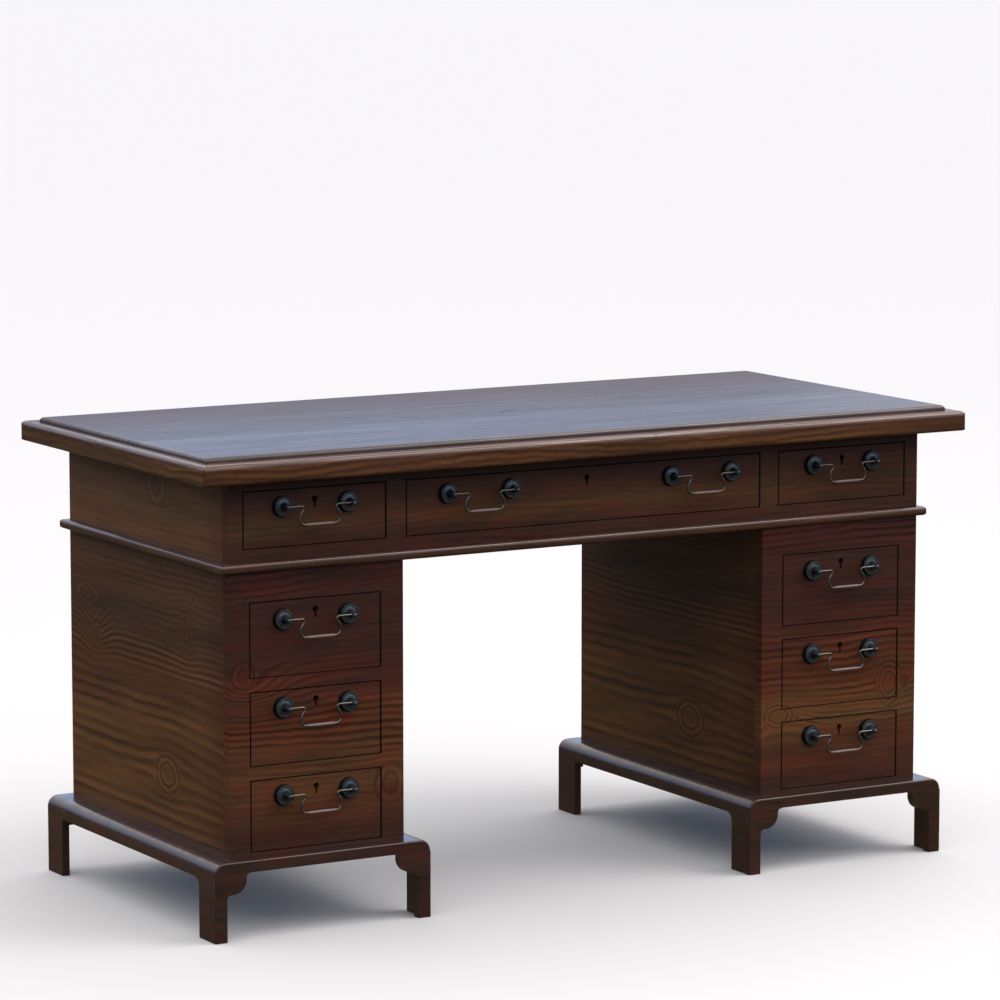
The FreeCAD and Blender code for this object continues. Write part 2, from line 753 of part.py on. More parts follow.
def post_nut(x, z):
    """The nut that holds a post from inside the drawer."""
    corners = []
    for index in range(nut_sides):
        angle = 2 * math.pi * index / nut_sides
        corner = Vector(
            x + nut_radius * math.cos(angle), drawer_inner_y, z + nut_radius * math.sin(angle),
        )
        corners.append((corner, 0))
    nut = prism(corners, Vector(0, nut_thickness, 0))
    bore = Part.makeCylinder(
        post_shank_radius + post_hole_clearance, nut_thickness,
        Vector(x, drawer_inner_y, z), Vector(0, 1, 0),
    )
    return nut.cut(bore).Solids[0]


def lock(opening):
    """The lock case behind the keyhole, with its bolt drawn down into the case."""
    x, z = keyhole_place(opening)
    back_of_lock_y = drawer_inner_y + lock_thickness
    top_z = z + lock_above_keyhole
    case = board(
        x - lock_width / 2, x + lock_width / 2, drawer_inner_y, back_of_lock_y,
        z - lock_below_keyhole, top_z,
    )
    bolt_y = drawer_inner_y + (lock_thickness - lock_bolt_thickness) / 2
    bolt = board(
        x - lock_bolt_width / 2, x + lock_bolt_width / 2, bolt_y, bolt_y + lock_bolt_thickness,
        top_z - lock_bolt_height, top_z,
    )
    case = case.cut([bolt, keyhole_cutter(x, z, drawer_inner_y, back_of_lock_y)])
    return [case.Solids[0], bolt]


def post_places_of(opening):
    """The x and z of each handle post on a drawer, left to right."""
    places = []
    z = opening["z_high"] - opening["handle_drop"]
    for centre_x in opening["handles"]:
        places.append((centre_x - handle_post_spacing / 2, z))
        places.append((centre_x + handle_post_spacing / 2, z))
    return places


def bail(x, z):
    """A swan-neck bail of round wire with a thicker grip, hanging plumb from its two pins."""
    pin_x = handle_post_spacing / 2 + bail_pin_reach
    right_half = [
        (Vector(bail_foot_half_width, 0, -bail_drop), bail_foot_radius),
        (Vector(bail_knee_half_width, 0, -bail_knee_drop), bail_knee_radius),
        (Vector(bail_shoulder_half_width, 0, 0), bail_shoulder_radius),
        (Vector(pin_x, 0, 0), 0),
    ]
    left_half = [(Vector(-point.x, 0, point.z), radius) for point, radius in reversed(right_half)]
    path = rounded_path(left_half + right_half, False)
    section = Part.Wire(Part.makeCircle(bail_wire_radius, Vector(-pin_x, 0, 0), Vector(1, 0, 0)))
    wire = path.makePipeShell([section], True, False)
    grip = Part.makeCylinder(
        grip_radius, 2 * grip_half_length, Vector(-grip_half_length, 0, -bail_drop), Vector(1, 0, 0),
    )
    rims = [edge for edge in grip.Edges if abs(edge.BoundBox.XLength) < grip_radius]
    grip = grip.makeFillet(grip_end_round, rims)
    whole = wire.fuse(grip).removeSplitter()
    whole.translate(Vector(x, bail_axis_y, z))
    return whole.Solids[0]


def drawer_pieces(opening):
    """One drawer: its front, its box, its handle fittings and lock, and its bail or bails."""
    name = opening["name"] + "_drawer"
    places = post_places_of(opening)
    save(name + "_front", [drawer_front(opening, places)])
    save(name + "_box", drawer_box(opening))
    fittings = lock(opening)
    for index, (x, z) in enumerate(places):
        towards_grip = 1 if index % 2 == 0 else -1
        fittings += [rosette(x, z), handle_post(x, z, towards_grip), post_nut(x, z)]
    save(name + "_fittings", fittings)
    handle_z = opening["z_high"] - opening["handle_drop"]
    sides = ("",) if len(opening["handles"]) == 1 else ("_left", "_right")
    for side, centre_x in zip(sides, opening["handles"]):
        save(name + side + "_bail", [bail(centre_x, handle_z)])


os.makedirs("parts", exist_ok=True)
all_openings = drawer_openings()
top_pieces()
frieze_pieces()
frieze_runner_pieces(all_openings)
pedestal_pieces(all_openings)
base_pieces()
for each_opening in all_openings:
    drawer_pieces(each_opening)
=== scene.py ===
import math
from types import SimpleNamespace

import bmesh
import bpy
import numpy as np
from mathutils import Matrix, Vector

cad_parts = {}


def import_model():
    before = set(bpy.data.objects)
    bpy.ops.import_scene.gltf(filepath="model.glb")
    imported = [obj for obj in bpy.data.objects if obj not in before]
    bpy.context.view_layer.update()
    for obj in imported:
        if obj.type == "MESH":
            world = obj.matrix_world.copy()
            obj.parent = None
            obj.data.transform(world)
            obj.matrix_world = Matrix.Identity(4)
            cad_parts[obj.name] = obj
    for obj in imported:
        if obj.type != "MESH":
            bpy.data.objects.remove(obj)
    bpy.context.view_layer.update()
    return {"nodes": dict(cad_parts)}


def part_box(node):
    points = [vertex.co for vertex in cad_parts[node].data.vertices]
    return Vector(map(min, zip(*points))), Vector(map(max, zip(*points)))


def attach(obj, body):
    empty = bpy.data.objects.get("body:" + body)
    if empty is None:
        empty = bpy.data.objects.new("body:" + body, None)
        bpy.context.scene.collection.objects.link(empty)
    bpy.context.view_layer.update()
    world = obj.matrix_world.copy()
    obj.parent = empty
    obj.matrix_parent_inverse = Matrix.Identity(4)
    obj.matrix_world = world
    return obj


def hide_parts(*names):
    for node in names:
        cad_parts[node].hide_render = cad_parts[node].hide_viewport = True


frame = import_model()
scene = bpy.context.scene
scene.view_settings.view_transform = "Standard"

# The photograph's camera, fitted to about seventy edges and corners of the desk
CAMERA_PLACE = (-4.07918, -7.07268, 1.78747)
CAMERA_TURN = math.radians(-30.01)
CAMERA_PITCH = math.radians(7.96)
CAMERA_LENS = 168.76
SENSOR_WIDTH = 36.0
FARTHEST_SEEN = 1000.0

# The desk's sizes that the wood's figure and the painted shade follow, in metres
FIELD_HALF_WIDTH = 0.7308
FIELD_HALF_DEPTH = 0.3225
TOP_EDGE_END_WIDTH = 0.0207
TOP_EDGE_FRONT_WIDTH = 0.0345
FRONT_Y = -0.3057
EASED_EDGE_RADIUS = 0.0008
PEDESTAL_MIDDLE_X = 0.5225
PEDESTAL_DRAWER_HALF_WIDTH = 0.12185
PEDESTAL_DRAWER_HEIGHTS = ((0.14045, 0.26005), (0.28405, 0.40725), (0.43125, 0.55705))
FRIEZE_DRAWER_HEIGHTS = (0.64635, 0.74095)
CENTRE_DRAWER_HALF_WIDTH = 0.35055
END_DRAWER_INNER_X = 0.38985
END_DRAWER_OUTER_X = 0.65525
PEDESTAL_HANDLE_HEIGHTS = (0.2318, 0.3783, 0.5260)
FRIEZE_HANDLE_HEIGHT = 0.7134
CENTRE_LEFT_HANDLE_X = -0.2104
CENTRE_RIGHT_HANDLE_X = 0.2296

# The handles' sizes in metres, as in the CAD model apart from the drawn wire's radius
BAIL_STANDOFF = 0.0185
POST_HALF_SPACING = 0.06085
PIN_END_INSET = 0.0029
CAD_WIRE_RADIUS = 0.00175
WIRE_RADIUS = 0.0020
BAIL_DROP = 0.0312
SHOULDER_HALF_WIDTH = 0.0257
KNEE_HALF_WIDTH = 0.0356
KNEE_DROP = 0.0125
FOOT_HALF_WIDTH = 0.039
SHOULDER_RADIUS = 0.0042
KNEE_RADIUS = 0.009
FOOT_RADIUS = 0.0095
ROUTE_STEP = 0.0008
WIRE_SIDES = 28
UV_TURNS_PER_METRE = 10
SHARP_ANGLE = math.radians(38)
SAME_POINT = 1e-6

# Half of the grip's outline as (distance from its middle, radius), in millimetres: it
# swells towards the middle and has a fine groove inside its end
GRIP_OUTLINE = (
    (0.0, 2.80), (8.0, 2.78), (16.0, 2.70), (23.2, 2.62), (24.0, 2.60), (24.3, 2.36),
    (24.7, 2.36), (25.0, 2.62), (25.6, 2.60), (25.9, 2.40), (26.0, 2.10),
)


def colour(red, green, blue):
    """A colour as sockets take it, with its alpha."""
    return (red, green, blue, 1.0)


# Node trees
class Tree:
    """Short calls for building one node tree: a call that makes a node returns its output."""

    def __init__(self, tree):
        self.tree = tree

    def join(self, value, socket):
        """Link a socket to another, or set a plain value on it."""
        if isinstance(value, bpy.types.NodeSocket):
            self.tree.links.new(value, socket)
        else:
            socket.default_value = value

    def node(self, kind, inputs=(), **settings):
        """A node with its settings made and its inputs joined, by their names or in order."""
        made = self.tree.nodes.new(kind)
        for name, value in settings.items():
            setattr(made, name, value)
        pairs = inputs.items() if isinstance(inputs, dict) else enumerate(inputs)
        for name, value in pairs:
            self.join(value, made.inputs[name])
        return made.outputs[0]

    def group(self, group, inputs):
        """A placed node group, of which this gives all the outputs."""
        made = self.tree.nodes.new("ShaderNodeGroup")
        made.node_tree = group
        for name, value in inputs.items():
            self.join(value, made.inputs[name])
        return made.outputs

    def finish(self, kind, shader):
        """The tree's output node, with the shader joined to it."""
        self.join(shader, self.tree.nodes.new(kind).inputs["Surface"])

    def math(self, operation, *values, **settings):
        return self.node("ShaderNodeMath", values, operation=operation, **settings)

    def plus(self, first, second):
        return self.math("ADD", first, second)

    def minus(self, first, second):
        return self.math("SUBTRACT", first, second)

    def times(self, first, second):
        return self.math("MULTIPLY", first, second)

    def over(self, first, second):
        return self.math("DIVIDE", first, second)

    def times_plus(self, first, second, third):
        """first * second + third."""
        return self.math("MULTIPLY_ADD", first, second, third)

    def larger(self, first, second):
        return self.math("MAXIMUM", first, second)

    def unsigned(self, value):
        return self.math("ABSOLUTE", value)

    def above(self, first, second):
        """One where the first is above the second, and zero elsewhere."""
        return self.math("GREATER_THAN", first, second)

    def step(self, value, low, high, to_low=0.0, to_high=1.0):
        """A smooth step from to_low at low to to_high at high."""
        return self.node(
            "ShaderNodeMapRange", [value, low, high, to_low, to_high],
            interpolation_type="SMOOTHSTEP",
        )

    def pulse(self, value, start, full, fading, end):
        """Zero at start, one from full to fading, and zero again at end, with smooth sides."""
        return self.times(self.step(value, start, full), self.step(value, end, fading))

    def blend(self, share, first, second):
        """A plain number between two numbers."""
        return self.node("ShaderNodeMapRange", [share, 0.0, 1.0, first, second])

    def point(self, x, y, z=0.0):
        return self.node("ShaderNodeCombineXYZ", [x, y, z])

    def split(self, vector):
        """The three parts of a vector."""
        made = self.tree.nodes.new("ShaderNodeSeparateXYZ")
        self.join(vector, made.inputs[0])
        return made.outputs

    def noise(self, place, detail=2.0, roughness=0.5, scale=1.0):
        return self.node("ShaderNodeTexNoise", {
            "Vector": place, "Scale": scale, "Detail": detail, "Roughness": roughness,
        })

    def mix(self, share, first, second, blend="MIX"):
        """A colour between two colours: sockets 0, 6 and 7 are its share and its colours."""
        made = self.tree.nodes.new("ShaderNodeMix")
        made.data_type = "RGBA"
        made.blend_type = blend
        self.join(share, made.inputs[0])
        self.join(first, made.inputs[6])
        self.join(second, made.inputs[7])
        return made.outputs[2]

    def tint(self, share, plain, tint):
        """The plain colour multiplied by a tint, by as much as share says."""
        return self.mix(share, plain, colour(*tint), "MULTIPLY")

    def scaled(self, plain, factor):
        """The plain colour multiplied by a number that changes over the surface."""
        return self.mix(1.0, plain, self.node("ShaderNodeCombineColor", [factor] * 3), "MULTIPLY")


def new_group(name, inputs, outputs):
    """An empty node group with named number sockets, its tree helper and both ends' sockets."""
    group = bpy.data.node_groups.new(name, "ShaderNodeTree")
    for socket in inputs:
        group.interface.new_socket(socket, in_out="INPUT", socket_type="NodeSocketFloat")
    for socket in outputs:
        group.interface.new_socket(socket, in_out="OUTPUT", socket_type="NodeSocketFloat")
    inside = group.nodes.new("NodeGroupInput").outputs
    result = group.nodes.new("NodeGroupOutput").inputs
    return group, Tree(group), inside, result


# Dips and knots as their tables give them, and the masks that one knot hands to the next
PLACE_COLUMNS = ("Centre Along", "Centre Across", "Half Length", "Half Height")
DIP_COLUMNS = PLACE_COLUMNS + ("Lift",)
KNOT_COLUMNS = PLACE_COLUMNS + ("Push", "Count", "Point", "Tint")
KNOT_MASKS = ("Rings", "Inside", "Halo", "Red", "Grey")


def from_centre(tree, inside):
    """a and b, the distances from the centre along and across the grain, each over its own
    half size, and the square of the elliptical distance r."""
    a = tree.over(tree.minus(inside["Along"], inside["Centre Along"]), inside["Half Length"])
    b = tree.over(tree.minus(inside["Across"], inside["Centre Across"]), inside["Half Height"])
    return a, b, tree.plus(tree.times(a, a), tree.times(b, b))


def dip_group():
    """Bends the growth lines down into a nest of dips, as they run round a knot's foot.

    Field += lift * exp(-r^2 / 2).
    """
    group, tree, inside, result = new_group(
        "dip", ("Along", "Across", "Field") + DIP_COLUMNS, ("Field",))
    _, _, square = from_centre(tree, inside)
    fall = tree.math("EXPONENT", tree.times(square, -0.5))
    tree.join(tree.times_plus(fall, inside["Lift"], inside["Field"]), result["Field"])
    return group


def knot_group():
    """A knot: it pushes the growth lines apart and has nested outlines of its own.

    Lines: Field -= push * b * exp(-0.35 r^2). For the outlines r is a little uneven, and a
    pointed knot has r = |a| + 0.9 b^2. Outside the core a light line and a dark line follow
    each other Count times in each unit of r, and from r = 1.1 to r = 1.9 they give way to
    the wood's own lines. Red and Grey tint the core, from r = 0.4 to r = 0.9.
    """
    group, tree, inside, result = new_group(
        "ringed knot",
        ("Along", "Across", "Field") + KNOT_MASKS + KNOT_COLUMNS,
        ("Field",) + KNOT_MASKS,
    )
    a, b, square = from_centre(tree, inside)
    fall = tree.math("EXPONENT", tree.times(square, -0.35))
    pushed = tree.times(tree.times(b, fall), inside["Push"])
    tree.join(tree.minus(inside["Field"], pushed), result["Field"])

    uneven = tree.noise(tree.point(tree.times(a, 1.1), tree.times(b, 1.1), inside["Centre Along"]))
    round_r = tree.math("SQRT", square)
    pointed_r = tree.times_plus(tree.times(b, b), 0.9, tree.unsigned(a))
    r = tree.blend(inside["Point"], round_r, pointed_r)
    r = tree.times(r, tree.times_plus(uneven, 0.42, 0.79))
    covered = tree.step(r, 1.9, 1.1)
    outside_core = tree.step(r, 0.4, 0.75)
    patchy = tree.step(uneven, 0.3, 0.55, 0.35, 1.0)
    drawn = tree.times(tree.times(outside_core, covered), patchy)
    turn = tree.math("FRACT", tree.times(r, inside["Count"]))
    ring = tree.pulse(turn, 0.4, 0.75, 0.85, 1.0)
    crest = tree.pulse(turn, 0.0, 0.12, 0.25, 0.55)
    kept = tree.times(inside["Rings"], tree.minus(1.0, covered))
    tree.join(tree.times_plus(ring, drawn, kept), result["Rings"])
    tree.join(tree.larger(inside["Inside"], covered), result["Inside"])
    tree.join(tree.larger(inside["Halo"], tree.times(crest, drawn)), result["Halo"])

    core = tree.step(r, 0.9, 0.4)
    red = tree.times(core, tree.larger(inside["Tint"], 0.0))
    grey = tree.times(core, tree.larger(tree.times(inside["Tint"], -1.0), 0.0))
    tree.join(tree.larger(inside["Red"], red), result["Red"])
    tree.join(tree.larger(inside["Grey"], grey), result["Grey"])
    return group


def gap_shade_group():
    """Painted shade along a drawer's gap, wider at the right and the top than elsewhere.

    r is the largest of the four signed distances to the gap's middle, each over its own
    half width, and the painted shade is one inside |r| = 0.6 and zero beyond |r| = 1.
    """
    right_half_width = 0.0025
    left_half_width = 0.0017
    top_half_width = 0.0015
    bottom_half_width = 0.0011
    group, tree, inside, result = new_group(
        "gap shade", ("X", "Z", "Painted Shade", "Left", "Right", "Low", "High"), ("Painted Shade",))
    right = tree.over(tree.minus(inside["X"], inside["Right"]), right_half_width)
    left = tree.over(tree.minus(inside["Left"], inside["X"]), left_half_width)
    top = tree.over(tree.minus(inside["Z"], inside["High"]), top_half_width)
    bottom = tree.over(tree.minus(inside["Low"], inside["Z"]), bottom_half_width)
    r = tree.larger(tree.larger(right, left), tree.larger(top, bottom))
    dirt = tree.step(tree.unsigned(r), 1.0, 0.6)
    tree.join(tree.larger(inside["Painted Shade"], dirt), result["Painted Shade"])
    return group


def post_distance(tree, inside, x):
    """How far a point at x lies, square to the front, from the nearer of a handle's posts."""
    beside = tree.unsigned(tree.minus(x, inside["Centre X"]))
    dx = tree.minus(beside, POST_HALF_SPACING)
    dz = tree.minus(inside["Z"], inside["Centre Z"])
    return tree.math("SQRT", tree.plus(tree.times(dx, dx), tree.times(dz, dz)))


def rosette_shadow_group():
    """Painted shadow round a handle's two rosettes, most of it on their left."""
    # The painted shadow is shifted to the left, away from the light on the right.
    shift_to_left = 0.0013
    shadow_radius = 0.0170
    unshaded_radius = 0.0195
    group, tree, inside, result = new_group(
        "rosette shadow", ("X", "Z", "Painted Shade", "Centre X", "Centre Z"), ("Painted Shade",))
    away = post_distance(tree, inside, tree.plus(inside["X"], shift_to_left))
    dirt = tree.step(away, unshaded_radius, shadow_radius)
    tree.join(tree.larger(inside["Painted Shade"], dirt), result["Painted Shade"])
    return group


def post_group():
    """The smallest distance, square to the front, from any post so far."""
    group, tree, inside, result = new_group(
        "post distance", ("X", "Z", "Away", "Centre X", "Centre Z"), ("Away",))
    away = post_distance(tree, inside, inside["X"])
    tree.join(tree.math("MINIMUM", inside["Away"], away), result["Away"])
    return group


def figure_group():
    """Growth rings of a plain-sawn board, from a field of height across the grain.

    The field is bent by slow, stretched noise and cut into rings of one spacing. Each
    ring darkens slowly and ends in a sharper dark line, with a light crest after it. Some
    rings are stronger than others and fade in and out, finer lines lie between, three to a
    ring, and fine streaks and pores run along the grain.
    """
    group, tree, inside, result = new_group(
        "wood figure",
        ("Along", "Across", "Field", "Depth", "Spacing", "Bend", "Ripple"),
        ("Rings", "Crests", "Drift", "Streaks", "Patches", "Hue"),
    )

    def stretched(along_waves, across_waves, shift, detail=2.0, roughness=0.5):
        """Noise with so many waves in a metre along the grain and across it."""
        return tree.noise(tree.point(
            tree.times_plus(inside["Along"], along_waves, shift),
            tree.times(inside["Across"], across_waves),
            tree.times(inside["Depth"], across_waves),
        ), detail, roughness)

    slow = tree.minus(stretched(2.3, 5.5, 3.0, 1.0, 0.45), 0.5)
    quick = tree.minus(stretched(19.0, 15.0, 9.0), 0.5)
    field = tree.times_plus(slow, tree.times(inside["Bend"], 6.0), inside["Field"])
    field = tree.times_plus(quick, tree.times(inside["Bend"], inside["Ripple"]), field)
    phase = tree.over(field, inside["Spacing"])
    turn = tree.math("FRACT", phase)
    ring = tree.pulse(turn, 0.42, 0.86, 0.9, 1.0)
    crest = tree.pulse(turn, 0.0, 0.14, 0.25, 0.7)
    number = tree.math("FLOOR", phase)
    vary = tree.noise(tree.point(tree.times(number, 3.7), 0.0), detail=0.0)
    fade = tree.step(stretched(3.4, 22.0, 21.0, 1.0), 0.34, 0.62, 0.25, 1.0)
    strength = tree.times(tree.step(vary, 0.3, 0.65, 0.45, 1.0), fade)
    fine_turn = tree.math("FRACT", tree.times(phase, 3.0))
    fine = tree.pulse(fine_turn, 0.2, 0.7, 0.75, 1.0)
    fine = tree.times(fine, tree.step(stretched(3.0, 12.0, 33.0, 1.0), 0.42, 0.62, 0.08, 0.5))
    tree.join(tree.larger(tree.times(ring, strength), fine), result["Rings"])
    tree.join(tree.times(crest, fade), result["Crests"])
    tree.join(stretched(1.6, 8.0, 5.0, 3.0, 0.55), result["Drift"])
    tree.join(stretched(14.0, 420.0, 13.0, 3.0, 0.6), result["Streaks"])
    tree.join(stretched(4.5, 40.0, 17.0), result["Patches"])
    tree.join(stretched(2.4, 30.0, 41.0), result["Hue"])
    return group


DIP = dip_group()
KNOT = knot_group()
GAP_SHADE = gap_shade_group()
ROSETTE_SHADOW = rosette_shadow_group()
POST = post_group()
FIGURE = figure_group()

# Dips as (along, across, half length, half height, lift) and ringed knots as (along,
# across, half length, half height, push, rings, pointedness, tint), in metres, with a tint
# of 1 for red and -1 for grey. Fronts run along X and rise along Z, sides run along Y and
# rise along Z, the top runs along X and goes back along Y. What stands in a LEFT table is
# on the boards of the desk's left half alone: on the others it lies out of reach.
OUT_OF_REACH = 5.0
LEFT_SIDE_DIPS = (
    (0.203, 0.452, 0.033, 0.036, 0.050),
    (-0.039, 0.742, 0.030, 0.034, 0.045),
)
LEFT_SIDE_KNOTS = (
    (0.238, 0.5025, 0.036, 0.015, 0.014, 1.1, 1.0, 0.35),
    (-0.147, 0.4925, 0.021, 0.026, 0.024, 2.2, 0.0, 1.0),
    (-0.214, 0.490, 0.016, 0.008, 0.004, 1.2, 1.0, 0.6),
    (-0.039, 0.722, 0.026, 0.022, 0.006, 1.2, 0.0, -0.7),
    (0.203, 0.436, 0.013, 0.023, 0.0, 1.6, 0.0, -0.8),
)
SIDE_KNOTS = (
    (-0.073, 0.235, 0.032, 0.023, 0.016, 2.0, 0.0, -0.2),
)
FRONT_DIPS = (
    (-0.640, 0.415, 0.045, 0.028, 0.030),
    (0.394, 0.262, 0.045, 0.020, -0.026),
    (-0.668, 0.492, 0.020, 0.018, 0.020),
)
FRONT_KNOTS = (
    (-0.658, 0.437, 0.017, 0.018, 0.014, 1.4, 0.0, 0.8),
    (-0.383, 0.232, 0.022, 0.026, 0.012, 1.3, 0.0, 0.3),
    (0.394, 0.272, 0.024, 0.016, 0.008, 2.2, 0.0, 0.1),
    (0.628, 0.312, 0.019, 0.029, 0.010, 2.6, 0.0, 0.1),
    (0.661, 0.312, 0.009, 0.010, 0.004, 0.8, 0.0, -1.0),
)
TOP_DIPS = (
    (-0.10, -0.03, 0.16, 0.030, 0.060),
    (0.16, 0.05, 0.20, 0.024, 0.050),
    (-0.50, -0.18, 0.14, 0.022, -0.040),
    (0.52, -0.14, 0.16, 0.020, 0.040),
)

# The middles of the drawers' gaps as (left, right, low, high), and the middles between
# each handle's posts
GAPS = [
    (side * PEDESTAL_MIDDLE_X - PEDESTAL_DRAWER_HALF_WIDTH,
     side * PEDESTAL_MIDDLE_X + PEDESTAL_DRAWER_HALF_WIDTH, low, high)
    for side in (-1, 1) for low, high in PEDESTAL_DRAWER_HEIGHTS
] + [
    (left, right, *FRIEZE_DRAWER_HEIGHTS) for left, right in (
        (-END_DRAWER_OUTER_X, -END_DRAWER_INNER_X),
        (-CENTRE_DRAWER_HALF_WIDTH, CENTRE_DRAWER_HALF_WIDTH),
        (END_DRAWER_INNER_X, END_DRAWER_OUTER_X),
    )
]
HANDLE_MIDDLES = [
    (side * PEDESTAL_MIDDLE_X, height)
    for side in (-1, 1) for height in PEDESTAL_HANDLE_HEIGHTS + (FRIEZE_HANDLE_HEIGHT,)
] + [(x, FRIEZE_HANDLE_HEIGHT) for x in (CENTRE_LEFT_HANDLE_X, CENTRE_RIGHT_HANDLE_X)]

# Where along Z, or back along Y on the top, the wood has which plain colour, which colour
# at its crests and how strong its lines are
SIDE_ZONES = (
    # The pedestals, from their foot up
    (0.14, (0.098, 0.038, 0.0135), (0.200, 0.086, 0.022), 0.80),
    (0.28, (0.100, 0.038, 0.0135), (0.205, 0.088, 0.022), 0.80),
    (0.38, (0.086, 0.032, 0.0130), (0.165, 0.065, 0.020), 0.75),
    (0.43, (0.080, 0.031, 0.0140), (0.170, 0.067, 0.023), 1.15),
    (0.465, (0.072, 0.030, 0.0145), (0.130, 0.052, 0.021), 0.90),
    (0.492, (0.062, 0.029, 0.0155), (0.100, 0.043, 0.019), 0.60),
    (0.54, (0.078, 0.033, 0.0160), (0.128, 0.052, 0.022), 0.70),
    (0.60, (0.074, 0.033, 0.0170), (0.112, 0.047, 0.021), 0.55),
    # The frieze's ends
    (0.635, (0.135, 0.058, 0.0270), (0.200, 0.082, 0.031), 0.50),
    (0.72, (0.126, 0.060, 0.0310), (0.165, 0.078, 0.034), 0.40),
)
FRONT_ZONES = (
    # The pedestals' foot, lower drawers, rail, middle drawers and rail
    (0.135, (0.052, 0.018, 0.0105), (0.090, 0.032, 0.013), 0.30),
    (0.20, (0.074, 0.023, 0.0105), (0.125, 0.042, 0.014), 0.25),
    (0.27, (0.096, 0.036, 0.013), (0.185, 0.077, 0.021), 0.70),
    (0.34, (0.078, 0.021, 0.008), (0.185, 0.055, 0.013), 0.95),
    (0.42, (0.064, 0.017, 0.009), (0.130, 0.034, 0.012), 0.85),
    # The upper drawers' lower and upper half, and the top rail
    (0.47, (0.048, 0.0150, 0.0095), (0.080, 0.020, 0.011), 0.50),
    (0.54, (0.046, 0.0155, 0.0098), (0.070, 0.021, 0.012), 0.40),
    (0.60, (0.045, 0.0125, 0.0082), (0.092, 0.018, 0.010), 1.25),
    # The frieze's lower rail, its drawers' middle and upper part, and its upper rail
    (0.645, (0.046, 0.0160, 0.0095), (0.070, 0.026, 0.012), 0.30),
    (0.685, (0.066, 0.0230, 0.0108), (0.140, 0.058, 0.017), 0.30),
    (0.725, (0.046, 0.0165, 0.0100), (0.066, 0.025, 0.012), 0.25),
    (0.755, (0.044, 0.0170, 0.0105), (0.066, 0.027, 0.013), 0.30),
)
BACK_ZONES = (
    (0.14, (0.084, 0.032, 0.0140), (0.160, 0.064, 0.020), 0.6),
    (0.62, (0.070, 0.028, 0.0135), (0.125, 0.050, 0.018), 0.6),
    (0.66, (0.064, 0.026, 0.0130), (0.110, 0.045, 0.018), 0.5),
)
TOP_ZONES = (
    (-0.33, (0.036, 0.019, 0.014), (0.058, 0.033, 0.024), 0.6),
    (-0.16, (0.037, 0.020, 0.015), (0.060, 0.034, 0.025), 0.6),
    (-0.10, (0.042, 0.023, 0.017), (0.066, 0.038, 0.028), 0.4),
    (-0.03, (0.034, 0.018, 0.013), (0.056, 0.031, 0.022), 0.9),
    (0.06, (0.038, 0.019, 0.014), (0.060, 0.032, 0.023), 0.8),
    (0.16, (0.046, 0.020, 0.0135), (0.070, 0.033, 0.022), 0.6),
    (0.30, (0.048, 0.021, 0.0135), (0.072, 0.034, 0.022), 0.6),
)

# How much of its lacquer the top keeps, from front to back
TOP_SHEEN = (
    (-0.33, 0.86), (-0.16, 0.93), (-0.10, 1.0), (-0.03, 0.83), (0.08, 0.75), (0.18, 0.54), (0.30, 0.46),
)

# Tints that the wood's colour is multiplied by
LINE_TINT = (0.9, 1.0, 1.15)
RED_CLOUD = (1.35, 0.72, 0.72)
GREEN_CLOUD = (0.66, 0.78, 0.70)
FRONT_DARKENING = (0.82, 0.72, 0.70)
GREENISH = (0.86, 1.0, 0.85)
GREYISH = (0.66, 0.95, 1.05)
RED_CORE = (1.15, 0.72, 0.8)
GREY_CORE = (0.6, 0.8, 0.95)

# Colours that lie over the wood's and the metal's own: worn specks, and painted shade
WORN_SPECK = (0.02, 0.009, 0.007)
# Painted shade in the drawers' gaps and painted shadow round the rosettes, on the wood
PAINTED_SHADE_ON_WOOD = (0.006, 0.004, 0.003)
# Painted shade round the rosettes' edges and the posts' feet, on the fittings
PAINTED_SHADE_ON_METAL = (0.006, 0.007, 0.008)

# Everything that sets one kind of wood apart from another, with its usual value
USUAL_WOOD = {
    "dips": (), "left_dips": (), "knots": (), "left_knots": (),
    # The rings' spacing and bends, and the height above which they lie finer, and how much
    "spacing": 0.011, "bend": 0.006, "ripple": 1.3, "finer_above": (),
    # Which way the zones follow each other
    "zone_axis": "z",
    # How dark a line is, as a share of the plain colour, and how light a knot's crests are
    "line": 0.42, "halo": 0.0,
    # How strong the blotches of crest colour, the clouds, and the green and grey tints are
    "blotches": 0.35, "mottle": 0.0, "green_share": 0.0, "grey_share": 0.0,
    # Whether the front end of the board is darker, and how strong the specks are
    "front_stain": False, "specks": 0.0,
    # Whether painted shade lies along the drawers' gaps and painted shadow round the rosettes
    "dirt": False,
    # The lacquer's weight, where it is weaker, its roughness, the wood's own, and its relief
    "coat": 0.25, "sheen": (), "coat_roughness": 0.3, "roughness": 0.5, "relief": 0.3,
}

# What all the wood shares: how strong a knot's lines are, how much lacquer is missing in
# the dark lines, how far the zones' borders wander in metres, and its optics
KNOT_LINE_STRENGTH = 0.72
COAT_CUT = 0.5
ZONE_DRIFT = 0.05
WOOD_SPECULAR = 0.15
COAT_IOR = 1.5


# The materials, by the names of their slots
MATERIALS = {}


def start_material(name):
    """A new material for a slot: its empty tree's helper, and its surface's coordinates."""
    material = bpy.data.materials.new(name)
    material.use_nodes = True
    material.node_tree.nodes.clear()
    MATERIALS[name] = material
    place = material.node_tree.nodes.new("ShaderNodeTexCoord").outputs
    return Tree(material.node_tree), place


